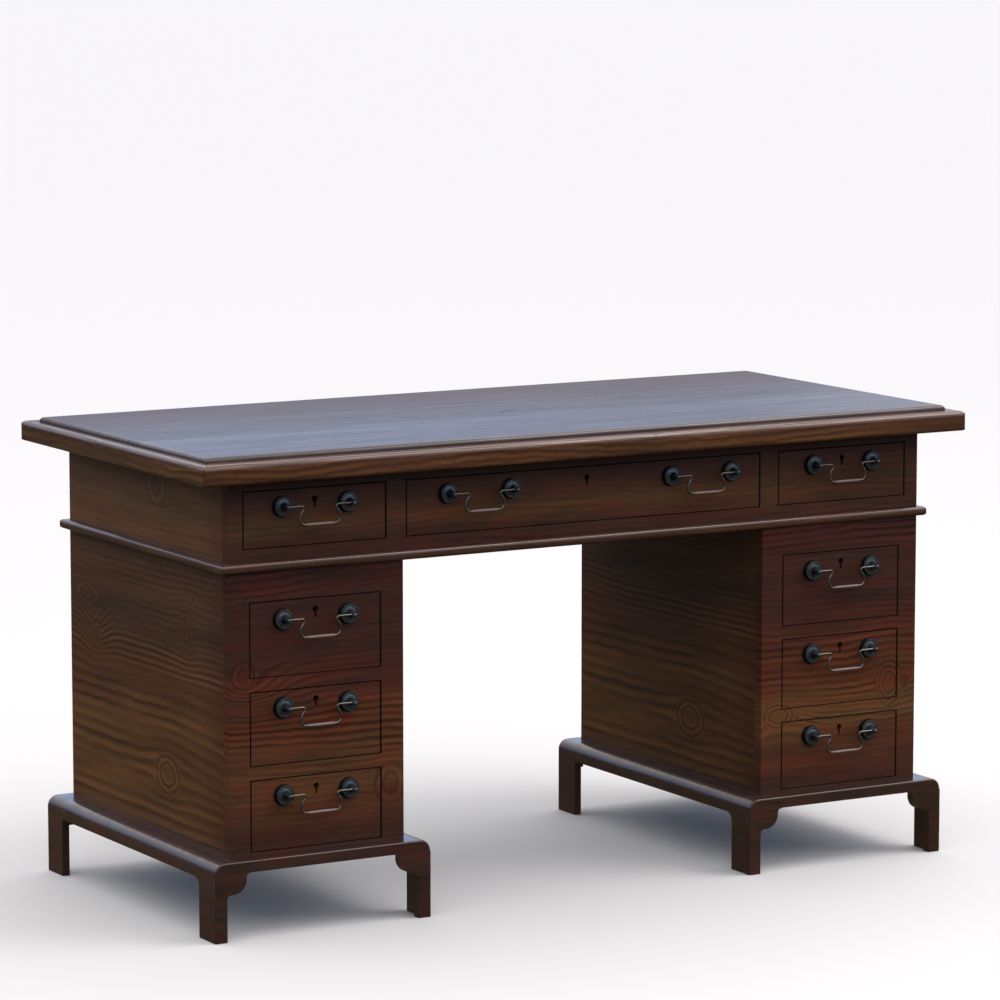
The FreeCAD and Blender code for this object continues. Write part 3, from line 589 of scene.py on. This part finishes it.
def grain_directions(tree, axes, x, y, z, normal):
    """The coordinates along and across the grain, and a third that tells boards apart.

    axes names the two coordinates, or is "box", where the way that each face points picks
    them, or "mitred", where they follow the mouldings round the desk.
    """
    if axes == "box":
        nx, ny, nz = [tree.unsigned(part) for part in tree.split(normal)]
        on_side = tree.above(nx, tree.larger(ny, nz))
        on_flat = tree.above(nz, tree.larger(nx, ny))
        return tree.blend(on_side, x, y), tree.blend(on_flat, z, y), 0.0
    if axes == "mitred":
        beyond_x = tree.minus(tree.unsigned(x), FIELD_HALF_WIDTH)
        beyond_y = tree.minus(tree.unsigned(y), FIELD_HALF_DEPTH)
        on_end = tree.above(tree.over(beyond_x, TOP_EDGE_END_WIDTH),
                            tree.over(beyond_y, TOP_EDGE_FRONT_WIDTH))
        across = tree.minus(z, tree.blend(on_end, beyond_y, beyond_x))
        return tree.blend(on_end, x, y), across, on_end
    named = {"x": x, "y": y, "z": z}
    return named[axes[0]], named[axes[1]], 0.0


def placed(tree, x, rows, left_rows):
    """The rows for both halves, and the left half's with centres out of the right half's reach."""
    rows = list(rows)
    if left_rows:
        on_left = tree.math("LESS_THAN", x, 0.0)
        rows += [(tree.blend(on_left, OUT_OF_REACH, centre), *rest) for centre, *rest in left_rows]
    return rows


def knotted_field(tree, wood, x, along, across):
    """The height across the grain, bent by the wood's dips and knots, and the knots' masks."""
    field = across
    if wood.finer_above:
        height, extra = wood.finer_above
        above = tree.larger(tree.minus(across, height), 0.0)
        field = tree.times_plus(above, extra, across)
    for row in placed(tree, x, wood.dips, wood.left_dips):
        field = tree.group(DIP, {
            "Along": along, "Across": across, "Field": field, **dict(zip(DIP_COLUMNS, row)),
        })["Field"]
    masks = dict.fromkeys(KNOT_MASKS, 0.0)
    for row in placed(tree, x, wood.knots, wood.left_knots):
        masks = tree.group(KNOT, {
            "Along": along, "Across": across, "Field": field,
            **{mask: masks[mask] for mask in KNOT_MASKS}, **dict(zip(KNOT_COLUMNS, row)),
        })
        field = masks["Field"]
    return field, masks


def zone_colours(tree, at, zones):
    """The plain colour, the crests' colour and the lines' strength, from zone to zone."""
    _, plain, crest, contrast = zones[0]
    plain, crest = colour(*plain), colour(*crest)
    for (low, *_), (high, next_plain, next_crest, next_contrast) in zip(zones, zones[1:]):
        share = tree.step(at, low, high)
        contrast = tree.blend(share, contrast, next_contrast)
        plain = tree.mix(share, plain, colour(*next_plain))
        crest = tree.mix(share, crest, colour(*next_crest))
    return plain, crest, contrast


def clouded(tree, plain, along, across, depth, strength):
    """Red and green clouds in the stain, longer along the grain than across it."""
    stretched = tree.point(tree.times(along, 11.0), tree.times(across, 30.0), depth)
    cloud = tree.noise(stretched, detail=2.0, roughness=0.55)
    plain = tree.tint(tree.times(tree.step(cloud, 0.48, 0.62), strength), plain, RED_CLOUD)
    return tree.tint(tree.times(tree.step(cloud, 0.5, 0.36), strength), plain, GREEN_CLOUD)


def painted_drawer_shade(tree, x, y, z):
    """Painted shade along every drawer's gap and painted shadow round every rosette, on the front face
    alone.
    """
    dirt = 0.0
    for left, right, low, high in GAPS:
        dirt = tree.group(GAP_SHADE, {
            "X": x, "Z": z, "Painted Shade": dirt, "Left": left, "Right": right, "Low": low, "High": high,
        })["Painted Shade"]
    for middle, height in HANDLE_MIDDLES:
        dirt = tree.group(ROSETTE_SHADOW, {
            "X": x, "Z": z, "Painted Shade": dirt, "Centre X": middle, "Centre Z": height,
        })["Painted Shade"]
    return tree.times(dirt, tree.step(y, FRONT_Y + 0.008, FRONT_Y + 0.003))


def lacquer(tree, wood, shade, patches, at):
    """The lacquer's weight: less in dark lines and some patches, and as the sheen table says."""
    coat = tree.times_plus(shade, -wood.coat * COAT_CUT, wood.coat)
    coat = tree.times(coat, tree.blend(patches, 1.0 - 0.35 * COAT_CUT, 1.0))
    if wood.sheen:
        gloss = wood.sheen[0][1]
        for (low, _), (high, next_gloss) in zip(wood.sheen, wood.sheen[1:]):
            gloss = tree.blend(tree.step(at, low, high), gloss, next_gloss)
        coat = tree.times(coat, gloss)
    return coat


def wood_material(name, axes, zones, **changes):
    """Stained wood under satin lacquer, as USUAL_WOOD and the changes to it tell.

    Where it has a ring's dark line, the plain colour is multiplied by line, and after it
    the crest's colour takes over. Light and dark streaks, tints and specks lie over both,
    with painted shade along the drawers' gaps and painted shadow round the rosettes, and the
    lacquer is weaker in the lines, the specks and the painted shade.
    """
    wood = SimpleNamespace(**{**USUAL_WOOD, **changes})
    tree, place = start_material(name)
    x, y, z = tree.split(place["Object"])

    # Growth lines
    along, across, depth = grain_directions(tree, axes, x, y, z, place["Normal"])
    field, knot = knotted_field(tree, wood, x, along, across)
    figure = tree.group(FIGURE, {
        "Along": along, "Across": across, "Field": field, "Depth": depth,
        "Spacing": wood.spacing, "Bend": wood.bend, "Ripple": wood.ripple,
    })
    has_knots = bool(wood.knots or wood.left_knots)
    rings, crests = figure["Rings"], figure["Crests"]
    if has_knots:
        outside = tree.minus(1.0, knot["Inside"])
        rings = tree.times(rings, outside)
        crests = tree.times(crests, outside)

    # The stain from zone to zone, with blotches and crests of the crests' colour
    at = {"y": y, "z": z}[wood.zone_axis]
    at = tree.times_plus(tree.minus(figure["Drift"], 0.5), ZONE_DRIFT, at)
    plain, crest, contrast = zone_colours(tree, at, zones)
    hue = tree.step(figure["Hue"], 0.36, 0.64)
    patches = tree.step(figure["Patches"], 0.32, 0.68)
    shade = tree.times(rings, contrast)
    if has_knots:
        shade = tree.times_plus(knot["Rings"], KNOT_LINE_STRENGTH, shade)
    blotch = tree.times(tree.step(figure["Drift"], 0.42, 0.68), wood.blotches)
    warm = tree.math("MULTIPLY_ADD", tree.times(crests, contrast), tree.blend(hue, 0.75, 0.45),
                     blotch, use_clamp=True)
    plain = tree.mix(warm, plain, crest)
    if has_knots:
        plain = tree.mix(tree.times(knot["Halo"], wood.halo), plain, crest)

    # Tints
    if wood.mottle:
        plain = clouded(tree, plain, along, across, depth, wood.mottle)
    # Darker towards the front end of the board
    if wood.front_stain:
        plain = tree.tint(tree.step(y, -0.19, -0.29), plain, FRONT_DARKENING)
    if wood.green_share:
        plain = tree.tint(tree.times(hue, wood.green_share), plain, GREENISH)
    if wood.grey_share:
        greyed = tree.times(tree.step(figure["Hue"], 0.5, 0.34), wood.grey_share)
        plain = tree.tint(greyed, plain, GREYISH)
    if has_knots:
        plain = tree.tint(knot["Red"], plain, RED_CORE)
        plain = tree.tint(knot["Grey"], plain, GREY_CORE)

    # Dark lines and fine streaks
    darkest = tree.tint(1.0, plain, [part * wood.line for part in LINE_TINT])
    plain = tree.mix(shade, plain, darkest)
    streaks = tree.blend(tree.step(figure["Streaks"], 0.25, 0.75), 0.86, 1.14)
    plain = tree.scaled(plain, tree.times(streaks, tree.blend(patches, 0.88, 1.12)))

    # Lacquer, worn specks, and painted shade along the gaps and round the rosettes
    coat = lacquer(tree, wood, shade, patches, at) if wood.coat else 0.0
    if wood.specks:
        worn = tree.noise(place["Object"], detail=3.0, roughness=0.65, scale=90.0)
        worn = tree.times(tree.step(worn, 0.60, 0.70), wood.specks)
        plain = tree.mix(worn, plain, colour(*WORN_SPECK))
        coat = tree.times(coat, tree.times_plus(worn, -0.7, 1.0))
    # Painted shade in the drawers' gaps and painted shadow round the rosettes
    if wood.dirt:
        dirt = painted_drawer_shade(tree, x, y, z)
        plain = tree.mix(tree.times(dirt, 0.92), plain, colour(*PAINTED_SHADE_ON_WOOD))
        coat = tree.times(coat, tree.times_plus(dirt, -0.8, 1.0))

    normal = tree.node("ShaderNodeBump", {
        "Strength": wood.relief, "Distance": 0.0004,
        "Height": tree.times_plus(shade, -0.6, figure["Streaks"]),
        "Normal": tree.node("ShaderNodeBevel", {"Radius": EASED_EDGE_RADIUS}, samples=4),
    })
    tree.finish("ShaderNodeOutputMaterial", tree.node("ShaderNodeBsdfPrincipled", {
        "Base Color": plain,
        "Roughness": tree.times_plus(figure["Streaks"], 0.14, wood.roughness - 0.07),
        "Specular IOR Level": WOOD_SPECULAR,
        "Coat Weight": coat,
        "Coat Roughness": wood.coat_roughness,
        "Coat IOR": COAT_IOR,
        "Normal": normal,
    }))


def metal_material(name, base, worn, roughness, metallic, cloud_scale, is_wire=False):
    """Aged metal: two tones in small clouds, on a bail's wire fine scratches along it, and
    on the fittings painted shade, black round each rosette's edge and each post's foot."""
    tree, place = start_material(name)
    height = tree.noise(place["Object"], detail=4.0, roughness=0.6, scale=cloud_scale)
    if is_wire:
        round_wire, along_wire, _ = tree.split(place["UV"])
        fine = tree.point(tree.times(round_wire, 60.0), tree.times(along_wire, 90.0))
        scratches = tree.noise(fine, detail=3.0, roughness=0.6)
        height = tree.times_plus(scratches, 0.5, tree.times(height, 0.5))
    tone = tree.mix(tree.step(height, 0.35, 0.7), colour(*base), colour(*worn))
    # Painted shade: black round each rosette's edge and each post's foot
    if not is_wire:
        x, y, z = tree.split(place["Object"])
        away = 1.0
        for middle, middle_z in HANDLE_MIDDLES:
            away = tree.group(POST, {
                "X": x, "Z": z, "Away": away, "Centre X": middle, "Centre Z": middle_z,
            })["Away"]
        near_rosette = tree.step(y, FRONT_Y - 0.016, FRONT_Y - 0.012)
        post_foot = tree.times(tree.step(away, 0.0095, 0.0060), near_rosette)
        rosette_edge = tree.step(away, 0.0156, 0.0163)
        dirt = tree.larger(post_foot, rosette_edge)
        tone = tree.mix(tree.times(dirt, 0.85), tone, colour(*PAINTED_SHADE_ON_METAL))
    normal = tree.node("ShaderNodeBump", {"Strength": 0.2, "Distance": 0.0002, "Height": height})
    tree.finish("ShaderNodeOutputMaterial", tree.node("ShaderNodeBsdfPrincipled", {
        "Base Color": tone,
        "Roughness": tree.times_plus(height, 0.2, roughness - 0.1),
        "Metallic": metallic,
        "Normal": normal,
    }))


wood_material(
    "top_wood", "xy", TOP_ZONES, zone_axis="y", dips=TOP_DIPS, spacing=0.0165, bend=0.010,
    ripple=0.35, specks=0.5, coat=1.0, sheen=TOP_SHEEN, coat_roughness=0.11, relief=0.1,
)
wood_material(
    "top_edge_wood", "mitred", [(0.0, (0.064, 0.0225, 0.0086), (0.172, 0.066, 0.017), 0.75)],
    spacing=0.0135, bend=0.010, specks=0.5, coat=1.0, coat_roughness=0.08,
)
wood_material(
    "moulding_wood", "mitred", [(0.0, (0.056, 0.021, 0.0105), (0.10, 0.038, 0.016), 0.7)],
    spacing=0.009, bend=0.005, specks=0.3, coat=0.9, coat_roughness=0.12,
)
wood_material(
    "base_wood", "box", [(0.0, (0.036, 0.0135, 0.0082), (0.062, 0.0225, 0.0105), 0.32)],
    spacing=0.016, bend=0.012, mottle=0.8, specks=0.4, coat=1.0, coat_roughness=0.17,
)
wood_material(
    "side_wood", "yz", SIDE_ZONES, left_dips=LEFT_SIDE_DIPS, knots=SIDE_KNOTS,
    left_knots=LEFT_SIDE_KNOTS, spacing=0.0205, finer_above=(0.40, 0.75), halo=0.62,
    green_share=0.4, grey_share=0.3, front_stain=True, coat=0.2,
)
wood_material(
    "front_wood", "xz", FRONT_ZONES, dips=FRONT_DIPS, knots=FRONT_KNOTS, spacing=0.0118,
    bend=0.0075, line=0.40, halo=0.50, blotches=0.45, mottle=0.38, grey_share=0.6,
    dirt=True, coat=0.2,
)
wood_material(
    "back_wood", "box", BACK_ZONES, spacing=0.017, bend=0.010, line=0.45, coat=0.2,
)
wood_material(
    "inner_wood", "box", [(0.0, (0.34, 0.21, 0.11), (0.42, 0.27, 0.15), 0.6)],
    line=0.6, coat=0.0, roughness=0.7,
)
wood_material(
    "drawer_box_wood", "box", [(0.0, (0.47, 0.32, 0.17), (0.56, 0.40, 0.23), 0.6)],
    line=0.6, coat=0.0, roughness=0.65,
)
metal_material(
    "fitting_iron", base=(0.044, 0.052, 0.056), worn=(0.082, 0.093, 0.098), roughness=0.36,
    metallic=0.7, cloud_scale=160.0,
)
metal_material(
    "bail_steel", base=(0.112, 0.101, 0.083), worn=(0.188, 0.170, 0.143), roughness=0.30,
    metallic=0.95, cloud_scale=260.0, is_wire=True,
)
metal_material(
    "grip_steel", base=(0.165, 0.115, 0.100), worn=(0.225, 0.160, 0.142), roughness=0.46,
    metallic=0.35, cloud_scale=260.0, is_wire=True,
)


def finish_of(node):
    """Which material a CAD node carries."""
    if node == "top_panel":
        return "top_wood"
    if node == "top_edge_moulding":
        return "top_edge_wood"
    if node == "waist_moulding":
        return "moulding_wood"
    if node.endswith("_bail"):
        return "bail_steel"
    if node.endswith("_fittings"):
        return "fitting_iron"
    if node.endswith("_drawer_box"):
        return "drawer_box_wood"
    if "runners" in node or node == "top_underframe":
        return "inner_wood"
    if "base_" in node:
        return "base_wood"
    if node.endswith("_sides") or node == "frieze_ends":
        return "side_wood"
    if node.endswith(("_backs", "_boards")) or node in ("frieze_back", "frieze_bottom_board"):
        return "back_wood"
    return "front_wood"


for name, node in frame["nodes"].items():
    node.data.materials.clear()
    node.data.materials.append(MATERIALS[finish_of(name)])


# Handles
def rounded_route(corners, radii):
    """Straight runs between the corners, with an arc of its radius at each inner corner.

    An arc leaves the runs at radius * tan(half turn) from its corner, and its points are
    centre + radius * (cos, sin) of evenly spaced angles.
    """
    corners = np.asarray(corners, dtype=float)
    pieces = [corners[:1]]
    for before, corner, after, radius in zip(corners, corners[1:], corners[2:], radii):
        arriving = (corner - before) / np.linalg.norm(corner - before)
        leaving = (after - corner) / np.linalg.norm(after - corner)
        half_turn = math.acos(float(np.clip(arriving @ leaving, -1, 1))) / 2
        inwards = (leaving - arriving) / np.linalg.norm(leaving - arriving)
        centre = corner + inwards * radius / math.cos(half_turn)
        first = corner - arriving * radius * math.tan(half_turn) - centre
        side = 1.0 if arriving[0] * leaving[1] - arriving[1] * leaving[0] > 0 else -1.0
        count = max(4, int(2 * half_turn * radius / ROUTE_STEP))
        angles = math.atan2(first[1], first[0]) + np.linspace(0, 2 * half_turn * side, count)
        pieces.append(centre + radius * np.stack([np.cos(angles), np.sin(angles)], 1))
    pieces.append(corners[-1:])
    return np.concatenate(pieces)


def bail_route():
    """The wire's middle line, its radius at each point, and which points are the grip's.

    The route runs from the left pin's end to the right one's, as (sideways from the
    handle's middle, up from the pins).
    """
    reach, girth = np.array(GRIP_OUTLINE).T / 1000
    half = rounded_route(
        [(-POST_HALF_SPACING + PIN_END_INSET, 0.0), (-SHOULDER_HALF_WIDTH, 0.0),
         (-KNEE_HALF_WIDTH, -KNEE_DROP), (-FOOT_HALF_WIDTH, -BAIL_DROP),
         (-reach[-1], -BAIL_DROP)],
        [SHOULDER_RADIUS, KNEE_RADIUS, FOOT_RADIUS],
    )
    grip_x = np.concatenate([-reach[::-1], reach[1:]])
    grip_radius = np.concatenate([girth[::-1], girth[1:]])
    grip = np.stack([grip_x, np.full(len(grip_x), -BAIL_DROP)], 1)
    route = np.concatenate([half, grip, half[::-1] * [-1.0, 1.0]])
    wire_radius = np.full(len(half), WIRE_RADIUS)
    radius = np.concatenate([wire_radius, grip_radius, wire_radius])
    not_grip = np.zeros(len(half), dtype=bool)
    is_grip = np.concatenate([not_grip, np.ones(len(grip), dtype=bool), not_grip])
    return route, radius, is_grip


def bail_rings(route, radius, is_grip, middle_x, axis_z):
    """The wire's surface as rings of points, with a ring of no width at each end.

    Ring points are route + radius * (cos t * normal + sin t * Y), where the normal lies in
    the bail's plane, square to the route.
    """
    ahead = np.gradient(route, axis=0)
    grip_points = np.flatnonzero(is_grip)
    ahead[grip_points[0] - 1:grip_points[-1] + 2] = (1.0, 0.0)
    ahead /= np.linalg.norm(ahead, axis=1)[:, None]
    turn = np.linspace(0, 2 * np.pi, WIRE_SIDES, endpoint=False)
    outwards = radius[:, None] * np.cos(turn)
    rings = np.stack([
        middle_x + route[:, :1] - outwards * ahead[:, 1:],
        FRONT_Y - BAIL_STANDOFF + radius[:, None] * np.sin(turn),
        axis_z + route[:, 1:] + outwards * ahead[:, :1],
    ], 2)
    ends = rings[[0, -1]].mean(1, keepdims=True).repeat(WIRE_SIDES, 1)
    return np.concatenate([ends[:1], rings, ends[1:]])


def bail_piece(node, points, faces, uvs, picks):
    """A bail's object from whole arrays: points, quads, a UV pair for each corner of each
    quad, and which of the bail's two materials each quad has."""
    name = node + "_wire"
    mesh = bpy.data.meshes.new(name)
    mesh.vertices.add(len(points))
    mesh.vertices.foreach_set("co", points.astype(np.float32).ravel())
    mesh.loops.add(faces.size)
    mesh.loops.foreach_set("vertex_index", faces.astype(np.int32).ravel())
    mesh.polygons.add(len(faces))
    mesh.polygons.foreach_set("loop_start", np.arange(0, faces.size, faces.shape[1], dtype=np.int32))
    mesh.polygons.foreach_set("material_index", picks.astype(np.int32))
    mesh.polygons.foreach_set("use_smooth", np.ones(len(faces), dtype=bool))
    layer = mesh.uv_layers.new(name="UVMap")
    layer.data.foreach_set("uv", uvs.astype(np.float32).ravel())
    mesh.update(calc_edges=True)
    mesh.validate()
    for material in ("bail_steel", "grip_steel"):
        mesh.materials.append(MATERIALS[material])
    close_ends(mesh)
    made = bpy.data.objects.new(name, mesh)
    scene.collection.objects.link(made)
    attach(made, node)
    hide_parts(node)


def close_ends(mesh):
    """Make one point of each end's ring, which has no width, and mark the sharp edges."""
    work = bmesh.new()
    work.from_mesh(mesh)
    bmesh.ops.remove_doubles(work, verts=work.verts, dist=SAME_POINT)
    bmesh.ops.recalc_face_normals(work, faces=work.faces)
    work.to_mesh(mesh)
    work.free()
    mesh.set_sharp_from_angle(angle=SHARP_ANGLE)


def bail(node):
    """A node's bail: a round section carried along a flat route, thicker at the grip."""
    low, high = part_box(node)
    route, radius, is_grip = bail_route()
    rings = bail_rings(route, radius, is_grip, (low[0] + high[0]) / 2, high[2] - CAD_WIRE_RADIUS)
    lengths = np.linalg.norm(np.diff(route, axis=0), axis=1)
    run = np.concatenate([[0.0, 0.0], np.cumsum(lengths), [lengths.sum()]])
    is_grip = np.pad(is_grip, 1)
    ring, column = np.meshgrid(np.arange(len(rings) - 1), np.arange(WIRE_SIDES), indexing="ij")
    start = ring * WIRE_SIDES
    next_start = start + WIRE_SIDES
    beside = (column + 1) % WIRE_SIDES
    faces = np.stack(
        [start + column, start + beside, next_start + beside, next_start + column], 2)
    across = np.stack([column, column + 1, column + 1, column], 2) / WIRE_SIDES
    along = np.stack([run[ring], run[ring], run[ring + 1], run[ring + 1]], 2) * UV_TURNS_PER_METRE
    picks = is_grip[:-1] & is_grip[1:]
    bail_piece(node, rings.reshape(-1, 3), faces.reshape(-1, 4),
               np.stack([across, along], 3).reshape(-1, 2), picks[ring].ravel())


for name in list(frame["nodes"]):
    if name.endswith("_bail"):
        bail(name)


# The studio
def floor():
    """A matt floor out to the horizon, just under the feet, which lights nothing else."""
    reach = 300.0
    level = -0.0006
    mesh = bpy.data.meshes.new("floor")
    corners = [(x * reach, y * reach, level) for x, y in ((-1, -1), (1, -1), (1, 1), (-1, 1))]
    mesh.from_pydata(corners, [], [(0, 1, 2, 3)])
    made = bpy.data.objects.new("floor", mesh)
    scene.collection.objects.link(made)
    material = bpy.data.materials.new("floor_paint")
    material.use_nodes = True
    shader = material.node_tree.nodes["Principled BSDF"]
    shader.inputs["Base Color"].default_value = colour(0.64, 0.635, 0.63)
    shader.inputs["Roughness"].default_value = 0.9
    shader.inputs["Specular IOR Level"].default_value = 0.1
    mesh.materials.append(material)
    made.visible_glossy = False
    made.visible_diffuse = False


def world():
    """A soft overcast sky: dim and brownish at the horizon, blue-grey above it, brightest
    overhead and to the right, over a dark olive ground. The camera sees a plain backdrop."""
    horizon = colour(0.20, 0.175, 0.19)
    blue_grey = colour(0.62, 0.86, 1.32)
    overhead = colour(1.64, 1.58, 1.54)
    clear = colour(0.85, 0.9, 1.05)
    ground = colour(0.120, 0.097, 0.066)
    backdrop = colour(0.94, 0.922, 0.94)
    made = bpy.data.worlds.new("studio")
    scene.world = made
    made.use_nodes = True
    made.node_tree.nodes.clear()
    tree = Tree(made.node_tree)
    place = made.node_tree.nodes.new("ShaderNodeTexCoord").outputs
    right, _, height = tree.split(place["Generated"])
    sky = tree.mix(tree.step(height, 0.112, 0.148), horizon, blue_grey)
    sky = tree.mix(tree.step(height, 0.2, 0.6), sky, overhead)
    clearing = tree.times(tree.step(right, 0.53, 0.6), tree.step(height, 0.4, 0.2))
    sky = tree.mix(tree.times(clearing, 0.6), sky, clear)
    sky = tree.scaled(sky, tree.times_plus(right, 0.12, 1.0))
    light = tree.mix(tree.step(height, -0.03, 0.02), ground, sky)
    path = made.node_tree.nodes.new("ShaderNodeLightPath").outputs
    seen = tree.mix(path["Is Camera Ray"], light, backdrop)
    tree.finish("ShaderNodeOutputWorld", tree.node("ShaderNodeBackground", {
        "Color": seen, "Strength": 1.0,
    }))


def soft_box(name, place, aim, width, height, power, tint, mirrored):
    """A rectangular studio light that faces a point, seen in gloss only where mirrored."""
    data = bpy.data.lights.new(name, "AREA")
    data.shape = "RECTANGLE"
    data.size = width
    data.size_y = height
    data.energy = power
    data.color = tint
    made = bpy.data.objects.new(name, data)
    scene.collection.objects.link(made)
    made.location = place
    away = np.array(aim) - np.array(place)
    flat = math.hypot(away[0], away[1])
    made.rotation_euler = (math.pi / 2 + math.atan2(away[2], flat), 0.0, math.atan2(-away[0], away[1]))
    made.visible_glossy = mirrored


def camera():
    """The camera where the photograph was taken."""
    data = bpy.data.cameras.new("camera")
    made = bpy.data.objects.new("camera", data)
    scene.collection.objects.link(made)
    data.lens = CAMERA_LENS
    data.sensor_width = SENSOR_WIDTH
    data.clip_end = FARTHEST_SEEN
    made.location = CAMERA_PLACE
    made.rotation_euler = (math.pi / 2 - CAMERA_PITCH, 0.0, CAMERA_TURN)
    scene.camera = made


floor()
world()
soft_box("right_soft_box", place=(5.4, -3.6, 2.4), aim=(0.2, -0.2, 0.45), width=2.2, height=1.8,
         power=35.0, tint=(1.0, 0.96, 0.93), mirrored=False)
soft_box("high_soft_box", place=(2.8, -1.7, 4.6), aim=(0.0, -0.3, 0.5), width=2.8, height=1.8,
         power=85.0, tint=(1.0, 0.92, 0.93), mirrored=True)
camera()

bpy.context.view_layer.update()
